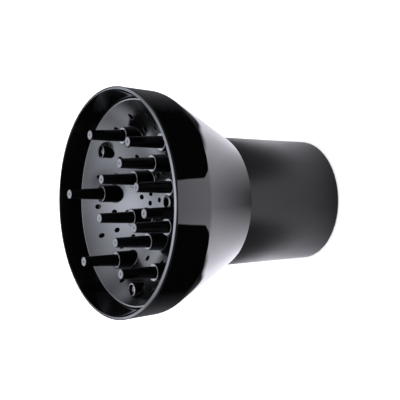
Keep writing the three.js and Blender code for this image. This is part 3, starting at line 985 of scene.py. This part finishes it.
def grey_rubber():
    """Soft moulded rubber: fine grain, faint mottling, rubbed edges."""
    material, nodes, surface, place = new_material("soft_grey_rubber")
    mottle = nodes.noise(place, 55.0, 4.0, 0.6)
    grain = nodes.noise(place, 4200.0, 2.0, 0.6)
    coarse = nodes.noise(place, 1300.0, 2.0, 0.5)
    wear = nodes.math("MULTIPLY", nodes.edge(0.0009), 0.3)
    base = nodes.mix(mottle, (0.0035, 0.0035, 0.004, 1), (0.005, 0.005, 0.0056, 1))
    base = nodes.mix(nodes.remap(grain, 0.35, 0.7, 0.0, 0.25), base, (0.009, 0.009, 0.010, 1))
    base = nodes.mix(wear, base, (0.016, 0.016, 0.017, 1))
    rough = nodes.remap(mottle, 0.3, 0.7, 0.34, 0.40)
    skin = nodes.bump(coarse, 0.00006, 0.3)
    skin = nodes.bump(grain, 0.00003, 0.4, skin)
    set_surface(nodes, surface, Base_Color=base, Roughness=rough, IOR=1.5, Normal=skin,
                Specular_IOR_Level=0.29)
    return material


def inner_black():
    """Matt black moulding of the parts inside the bell, with a spark-eroded grain."""
    material, nodes, surface, place = new_material("matt_black_plastic")
    clouds = nodes.noise(place, 60.0, 3.0)
    grain = nodes.noise(place, 2400.0, 2.0, 0.6)
    base = nodes.mix(clouds, (0.010, 0.010, 0.011, 1), (0.020, 0.020, 0.022, 1))
    base = nodes.mix(nodes.math("MULTIPLY", nodes.edge(0.0006), 0.4), base, (0.05, 0.05, 0.052, 1))
    rough = nodes.remap(clouds, 0.3, 0.7, 0.42, 0.58)
    set_surface(nodes, surface, Base_Color=base, Roughness=rough, IOR=1.5,
                Normal=nodes.bump(grain, 0.00003, 0.5))
    return material


def screw_steel():
    """Blackened steel: a turned sheen, uneven blacking and bare metal along the sharp edges."""
    material, nodes, surface, place = new_material("blackened_steel")
    patches = nodes.noise(place, 420.0, 4.0, 0.6)
    turned_marks = nodes.noise(stretched(nodes, place, 300.0, 300.0, 9000.0), 1.0, 2.0)
    base = nodes.mix(patches, (0.08, 0.08, 0.083, 1), (0.15, 0.15, 0.153, 1))
    base = nodes.mix(nodes.math("MULTIPLY", nodes.edge(0.0002), 0.5), base, (0.4, 0.4, 0.41, 1))
    rough = nodes.remap(patches, 0.3, 0.7, 0.26, 0.42)
    set_surface(nodes, surface, Base_Color=base, Roughness=rough, Metallic=1.0,
                Normal=nodes.bump(turned_marks, 0.000004, 0.5))
    return material


# ---------------------------------------------------------------- the object


def build_object():
    gloss = black_plastic("gloss_black_plastic", 0.025, 0.05)
    satin = plate_black()
    lip = bezel_black()
    rubber = grey_rubber()
    matt = inner_black()
    steel = screw_steel()

    bell = new_piece("bell", shade_smooth(bell_mesh()), ["bell_shell"], gloss)
    bezel = new_piece("bezel", shade_smooth(bezel_mesh()), ["rim_bezel"], lip)
    new_piece("plate", plate_mesh(), ["finger_plate"], satin)
    sleeve = new_piece("sleeve", shade_smooth(sleeve_mesh()), ["neck_sleeve"], rubber)
    deflector = new_piece("deflector", shade_smooth(deflector_mesh()), ["air_deflector"],
                          matt)
    for piece in (bell, bezel, sleeve, deflector):
        weight_normals(piece)

    finger = shade_smooth(finger_mesh())
    for kind in ("outer_finger", "inner_finger"):
        black = finger_black(kind, span(kind + "_1")[1].z)
        for name in nodes_named(kind):
            mesh = finger.copy()
            x, y = centre_of(name)
            mesh.transform(at(x, y, span(name)[0].z + SPIGOT_LENGTH))
            weight_normals(new_piece("massage_" + name, mesh, [name], black))

    for kind, turn in (("plate_screw", 20), ("clamp_screw", 50), ("deflector_screw", 35)):
        for i, name in enumerate(nodes_named(kind)):
            low, high = span(name)
            seat = high.z - SCREW_HEAD_HEIGHT
            mesh = shade_smooth(screw_mesh(seat - low.z))
            mesh.transform(Matrix.Rotation(math.radians(turn + 47 * i), 4, "Z"))
            x, y = centre_of(name)
            mesh.transform(at(x, y, seat))
            new_piece("steel_" + name, mesh, [name], steel)

    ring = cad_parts["neck_clamp_ring"]
    ring.data.materials.clear()
    ring.data.materials.append(matt)
    soften = ring.modifiers.new("soft_edges", "BEVEL")
    soften.width = 0.3 * MM
    soften.segments = 2
    soften.limit_method = "ANGLE"
    soften.angle_limit = math.radians(30)


# ---------------------------------------------------------------- stage, light and camera

CAMERA_AZIMUTH = 67.81
CAMERA_ELEVATION = 33.74
CAMERA_ROLL = 1.03
CAMERA_LENS = 118.4
CAMERA_DISTANCE = 883.7
TARGET_Z = 86.5
TARGET_SHIFT = -1.085

# Light. The sky arc runs from the far horizon over the top to the horizon behind the camera,
# as (degrees, share of the full glow).
SOFT_LIGHT = 2.3
THIRD_MIRROR = 0.35
SKY_GLOW = 10.5
SKY_TINT = (0.93, 0.97, 1.10, 1)
FLOOR_TINT = (0.975, 0.965, 1.06, 1)
SKY_ARC = [(0, 0), (14, 0.1), (32, 0.6), (50, 0.45), (75, 1), (88, 1), (118, 0.35), (170, 0)]

# How the sky's glow changes to the camera's right and left: (share from, share to, factor at each).
SKY_RIGHT_FADE = (0, 0.85, 1, 0.16)
SKY_LEFT_FADE = (-0.85, 0, 0.32, 1)

# The bright card on the floor. Half widths, and distances from the axis towards the camera: the
# card narrows beside the object and opens again in front of it.
CARD_WIDE = 97.5
CARD_NARROW = 57
CARD_NARROWING = (-28, 88)
CARD_END = 215
CARD_END_WIDE = 77
CARD_SOFT_EDGE = 2

# The card's glow as (from, to, value at each): by distance from the axis, by bearing, where 1 is
# to the camera's right, and by distance towards the camera.
# The low glow close to the axis paints the shade that the object casts on the floor round its neck.
CARD_INNER_GLOW = (40, 70, 0.2, 1.32)
CARD_OUTER_GAIN = (70, 200, 0, 1.05)
CARD_END_LOSS = (208, 240, 0, 0.45)
CARD_RIGHT_GAIN = (0.25, 1, 0, 0.45)
CARD_LEFT_GAIN = (-0.15, -1, 0, 1.15)
CARD_BEHIND_SHARE = (-120, -30, 0.4, 1)
FLOOR_BEHIND_GLOW = (0, -130, 0, 0.15)


def camera_axes():
    """Unit vectors from the object to the camera, to the camera's right and to its up."""
    azimuth, elevation = math.radians(CAMERA_AZIMUTH), math.radians(CAMERA_ELEVATION)
    back = Vector((math.sin(azimuth) * math.cos(elevation),
                   -math.cos(azimuth) * math.cos(elevation), math.sin(elevation)))
    right = Vector((math.cos(azimuth), math.sin(azimuth), 0))
    return back, right, back.cross(right)


def make_camera():
    """A long lens looks down on the bowl. It is turned a quarter so that the neck points right."""
    back, right, up = camera_axes()
    roll = math.radians(CAMERA_ROLL)
    image_right = -up * math.cos(roll) - right * math.sin(roll)
    image_down = up * math.sin(roll) - right * math.cos(roll)
    target = Vector((0, 0, TARGET_Z)) - right * TARGET_SHIFT
    place = (target + back * CAMERA_DISTANCE) * MM
    lens = bpy.data.cameras.new("camera")
    lens.lens = CAMERA_LENS
    lens.sensor_width = 36
    lens.clip_start = 0.05
    lens.clip_end = 50
    camera = bpy.data.objects.new("camera", lens)
    bpy.context.scene.collection.objects.link(camera)
    turn = Matrix((image_right, -image_down, back)).transposed()
    camera.matrix_world = Matrix.Translation(place) @ turn.to_4x4()
    bpy.context.scene.camera = camera


def sheet(name, corners, material):
    """A flat staged sheet from its corners in metres."""
    mesh = bpy.data.meshes.new(name)
    mesh.from_pydata(corners, [], [list(range(len(corners)))])
    mesh.materials.append(material)
    thing = bpy.data.objects.new(name, mesh)
    bpy.context.scene.collection.objects.link(thing)
    return thing


def few_mirrors(nodes):
    """1 for rays that left one or two mirroring surfaces, less for rays that left a third one."""
    depth = nodes.add("ShaderNodeLightPath").outputs["Glossy Depth"]
    return nodes.remap(depth, 2.0, 3.0, 1.0, THIRD_MIRROR)


def floor_card(nodes, place):
    """Glow of the floor as the gloss mirrors it: a bright card under the object on black, with painted
    shade close to the neck.
    """
    back, right, _ = camera_axes()
    ahead = Vector((back.x, back.y, 0)).normalized()

    out, side = nodes.dot(place, ahead / MM), nodes.dot(place, right / MM)
    across = nodes.math("ABSOLUTE", side)
    away = nodes.math("POWER", nodes.math("ADD", nodes.math("MULTIPLY", out, out),
                                          nodes.math("MULTIPLY", side, side)), 0.5)
    half_width = nodes.remap(out, *CARD_NARROWING, CARD_WIDE, CARD_NARROW, "SMOOTHSTEP")
    opening = nodes.remap(out, CARD_NARROWING[1], CARD_END, 0, CARD_END_WIDE - CARD_NARROW)
    half_width = nodes.math("ADD", half_width, opening)
    margin = nodes.math("SUBTRACT", half_width, across)
    inside = nodes.remap(margin, -CARD_SOFT_EDGE, CARD_SOFT_EDGE, 0, 1)
    # Painted shade: the glow falls off close to the axis.
    glow = nodes.math("ADD", nodes.remap(away, *CARD_INNER_GLOW), nodes.remap(away, *CARD_OUTER_GAIN))
    glow = nodes.math("SUBTRACT", glow, nodes.remap(away, *CARD_END_LOSS))
    bearing = nodes.math("DIVIDE", side, away)
    glow = nodes.math("ADD", glow, nodes.remap(bearing, *CARD_RIGHT_GAIN))
    glow = nodes.math("ADD", glow, nodes.remap(bearing, *CARD_LEFT_GAIN))
    glow = nodes.math("MULTIPLY", glow, nodes.remap(out, *CARD_BEHIND_SHARE))
    behind = nodes.remap(out, *FLOOR_BEHIND_GLOW)
    return nodes.math("MAXIMUM", nodes.math("MULTIPLY", inside, glow), behind)


def make_floor():
    """A plain pale floor. The gloss mirrors it as a card on black. From below it is clear."""
    pale = bpy.data.materials.new("pale_floor")
    pale.use_nodes = True
    pale.node_tree.nodes.clear()
    nodes = Nodes(pale.node_tree)
    place = nodes.add("ShaderNodeTexCoord").outputs["Object"]
    shade = nodes.mix(nodes.noise(place, 3.0, 2.0), (0.80, 0.80, 0.80, 1), (0.84, 0.84, 0.84, 1))
    matt = nodes.add("ShaderNodeBsdfDiffuse", {"Color": shade}).outputs[0]
    glow = nodes.math("MULTIPLY", floor_card(nodes, place), few_mirrors(nodes))
    card = nodes.add("ShaderNodeEmission", {"Color": FLOOR_TINT, "Strength": glow}).outputs[0]
    is_gloss = nodes.add("ShaderNodeLightPath").outputs["Is Glossy Ray"]
    surface = nodes.add("ShaderNodeMixShader", {0: is_gloss, 1: matt, 2: card}).outputs[0]
    under = nodes.add("ShaderNodeNewGeometry").outputs["Backfacing"]
    clear = nodes.add("ShaderNodeBsdfTransparent").outputs[0]
    surface = nodes.add("ShaderNodeMixShader", {0: under, 1: surface, 2: clear}).outputs[0]
    nodes.add("ShaderNodeOutputMaterial", {"Surface": surface})
    reach, below = 6.0, -0.0003
    sheet("floor", [(-reach, -reach, below), (reach, -reach, below),
                    (reach, reach, below), (-reach, reach, below)], pale)


def sky_glow(nodes, direction):
    """Glow of the sky as the gloss mirrors it: brightest overhead, black low behind the camera."""
    back, right, _ = camera_axes()
    far = -Vector((back.x, back.y, 0)).normalized()
    arc = nodes.math("ARCTAN2", nodes.dot(direction, Vector((0, 0, 1))), nodes.dot(direction, far))
    ramp = nodes.add("ShaderNodeValToRGB", {"Fac": nodes.math("DIVIDE", arc, math.pi)})
    stops = ramp.color_ramp.elements
    while len(stops) > 1:
        stops.remove(stops[-1])
    for i, (degrees, glow) in enumerate(SKY_ARC):
        stop = stops[0] if i == 0 else stops.new(degrees / 180)
        stop.position = degrees / 180
        stop.color = (glow, glow, glow, 1)
    sideways = nodes.dot(direction, right)
    narrow = nodes.math("MULTIPLY", nodes.remap(sideways, *SKY_RIGHT_FADE),
                        nodes.remap(sideways, *SKY_LEFT_FADE))
    return nodes.math("MULTIPLY", nodes.math("MULTIPLY", ramp.outputs["Color"], narrow), SKY_GLOW)


def make_light():
    """Soft white light all round. In the gloss it is an overhead glow that fades to the sides."""
    scene = bpy.context.scene
    world = bpy.data.worlds.new("studio")
    scene.world = world
    world.use_nodes = True
    tree = world.node_tree
    tree.nodes.clear()
    nodes = Nodes(tree)
    direction = nodes.add("ShaderNodeTexCoord").outputs["Generated"]
    glow = nodes.math("MULTIPLY", sky_glow(nodes, direction), few_mirrors(nodes))
    mirrored = nodes.add("ShaderNodeBackground", {"Color": SKY_TINT, "Strength": glow}).outputs[0]
    path = nodes.add("ShaderNodeLightPath")
    strength = nodes.remap(path.outputs["Is Camera Ray"], 0, 1, SOFT_LIGHT, 1)
    plain = nodes.add("ShaderNodeBackground", {"Color": (1, 1, 1, 1), "Strength": strength}).outputs[0]
    inputs = {0: path.outputs["Is Glossy Ray"], 1: plain, 2: mirrored}
    nodes.add("ShaderNodeOutputWorld", {"Surface": nodes.add("ShaderNodeMixShader", inputs).outputs[0]})
    scene.view_settings.view_transform = "Standard"
    scene.view_settings.look = "None"


build_object()
make_floor()
make_light()
make_camera()
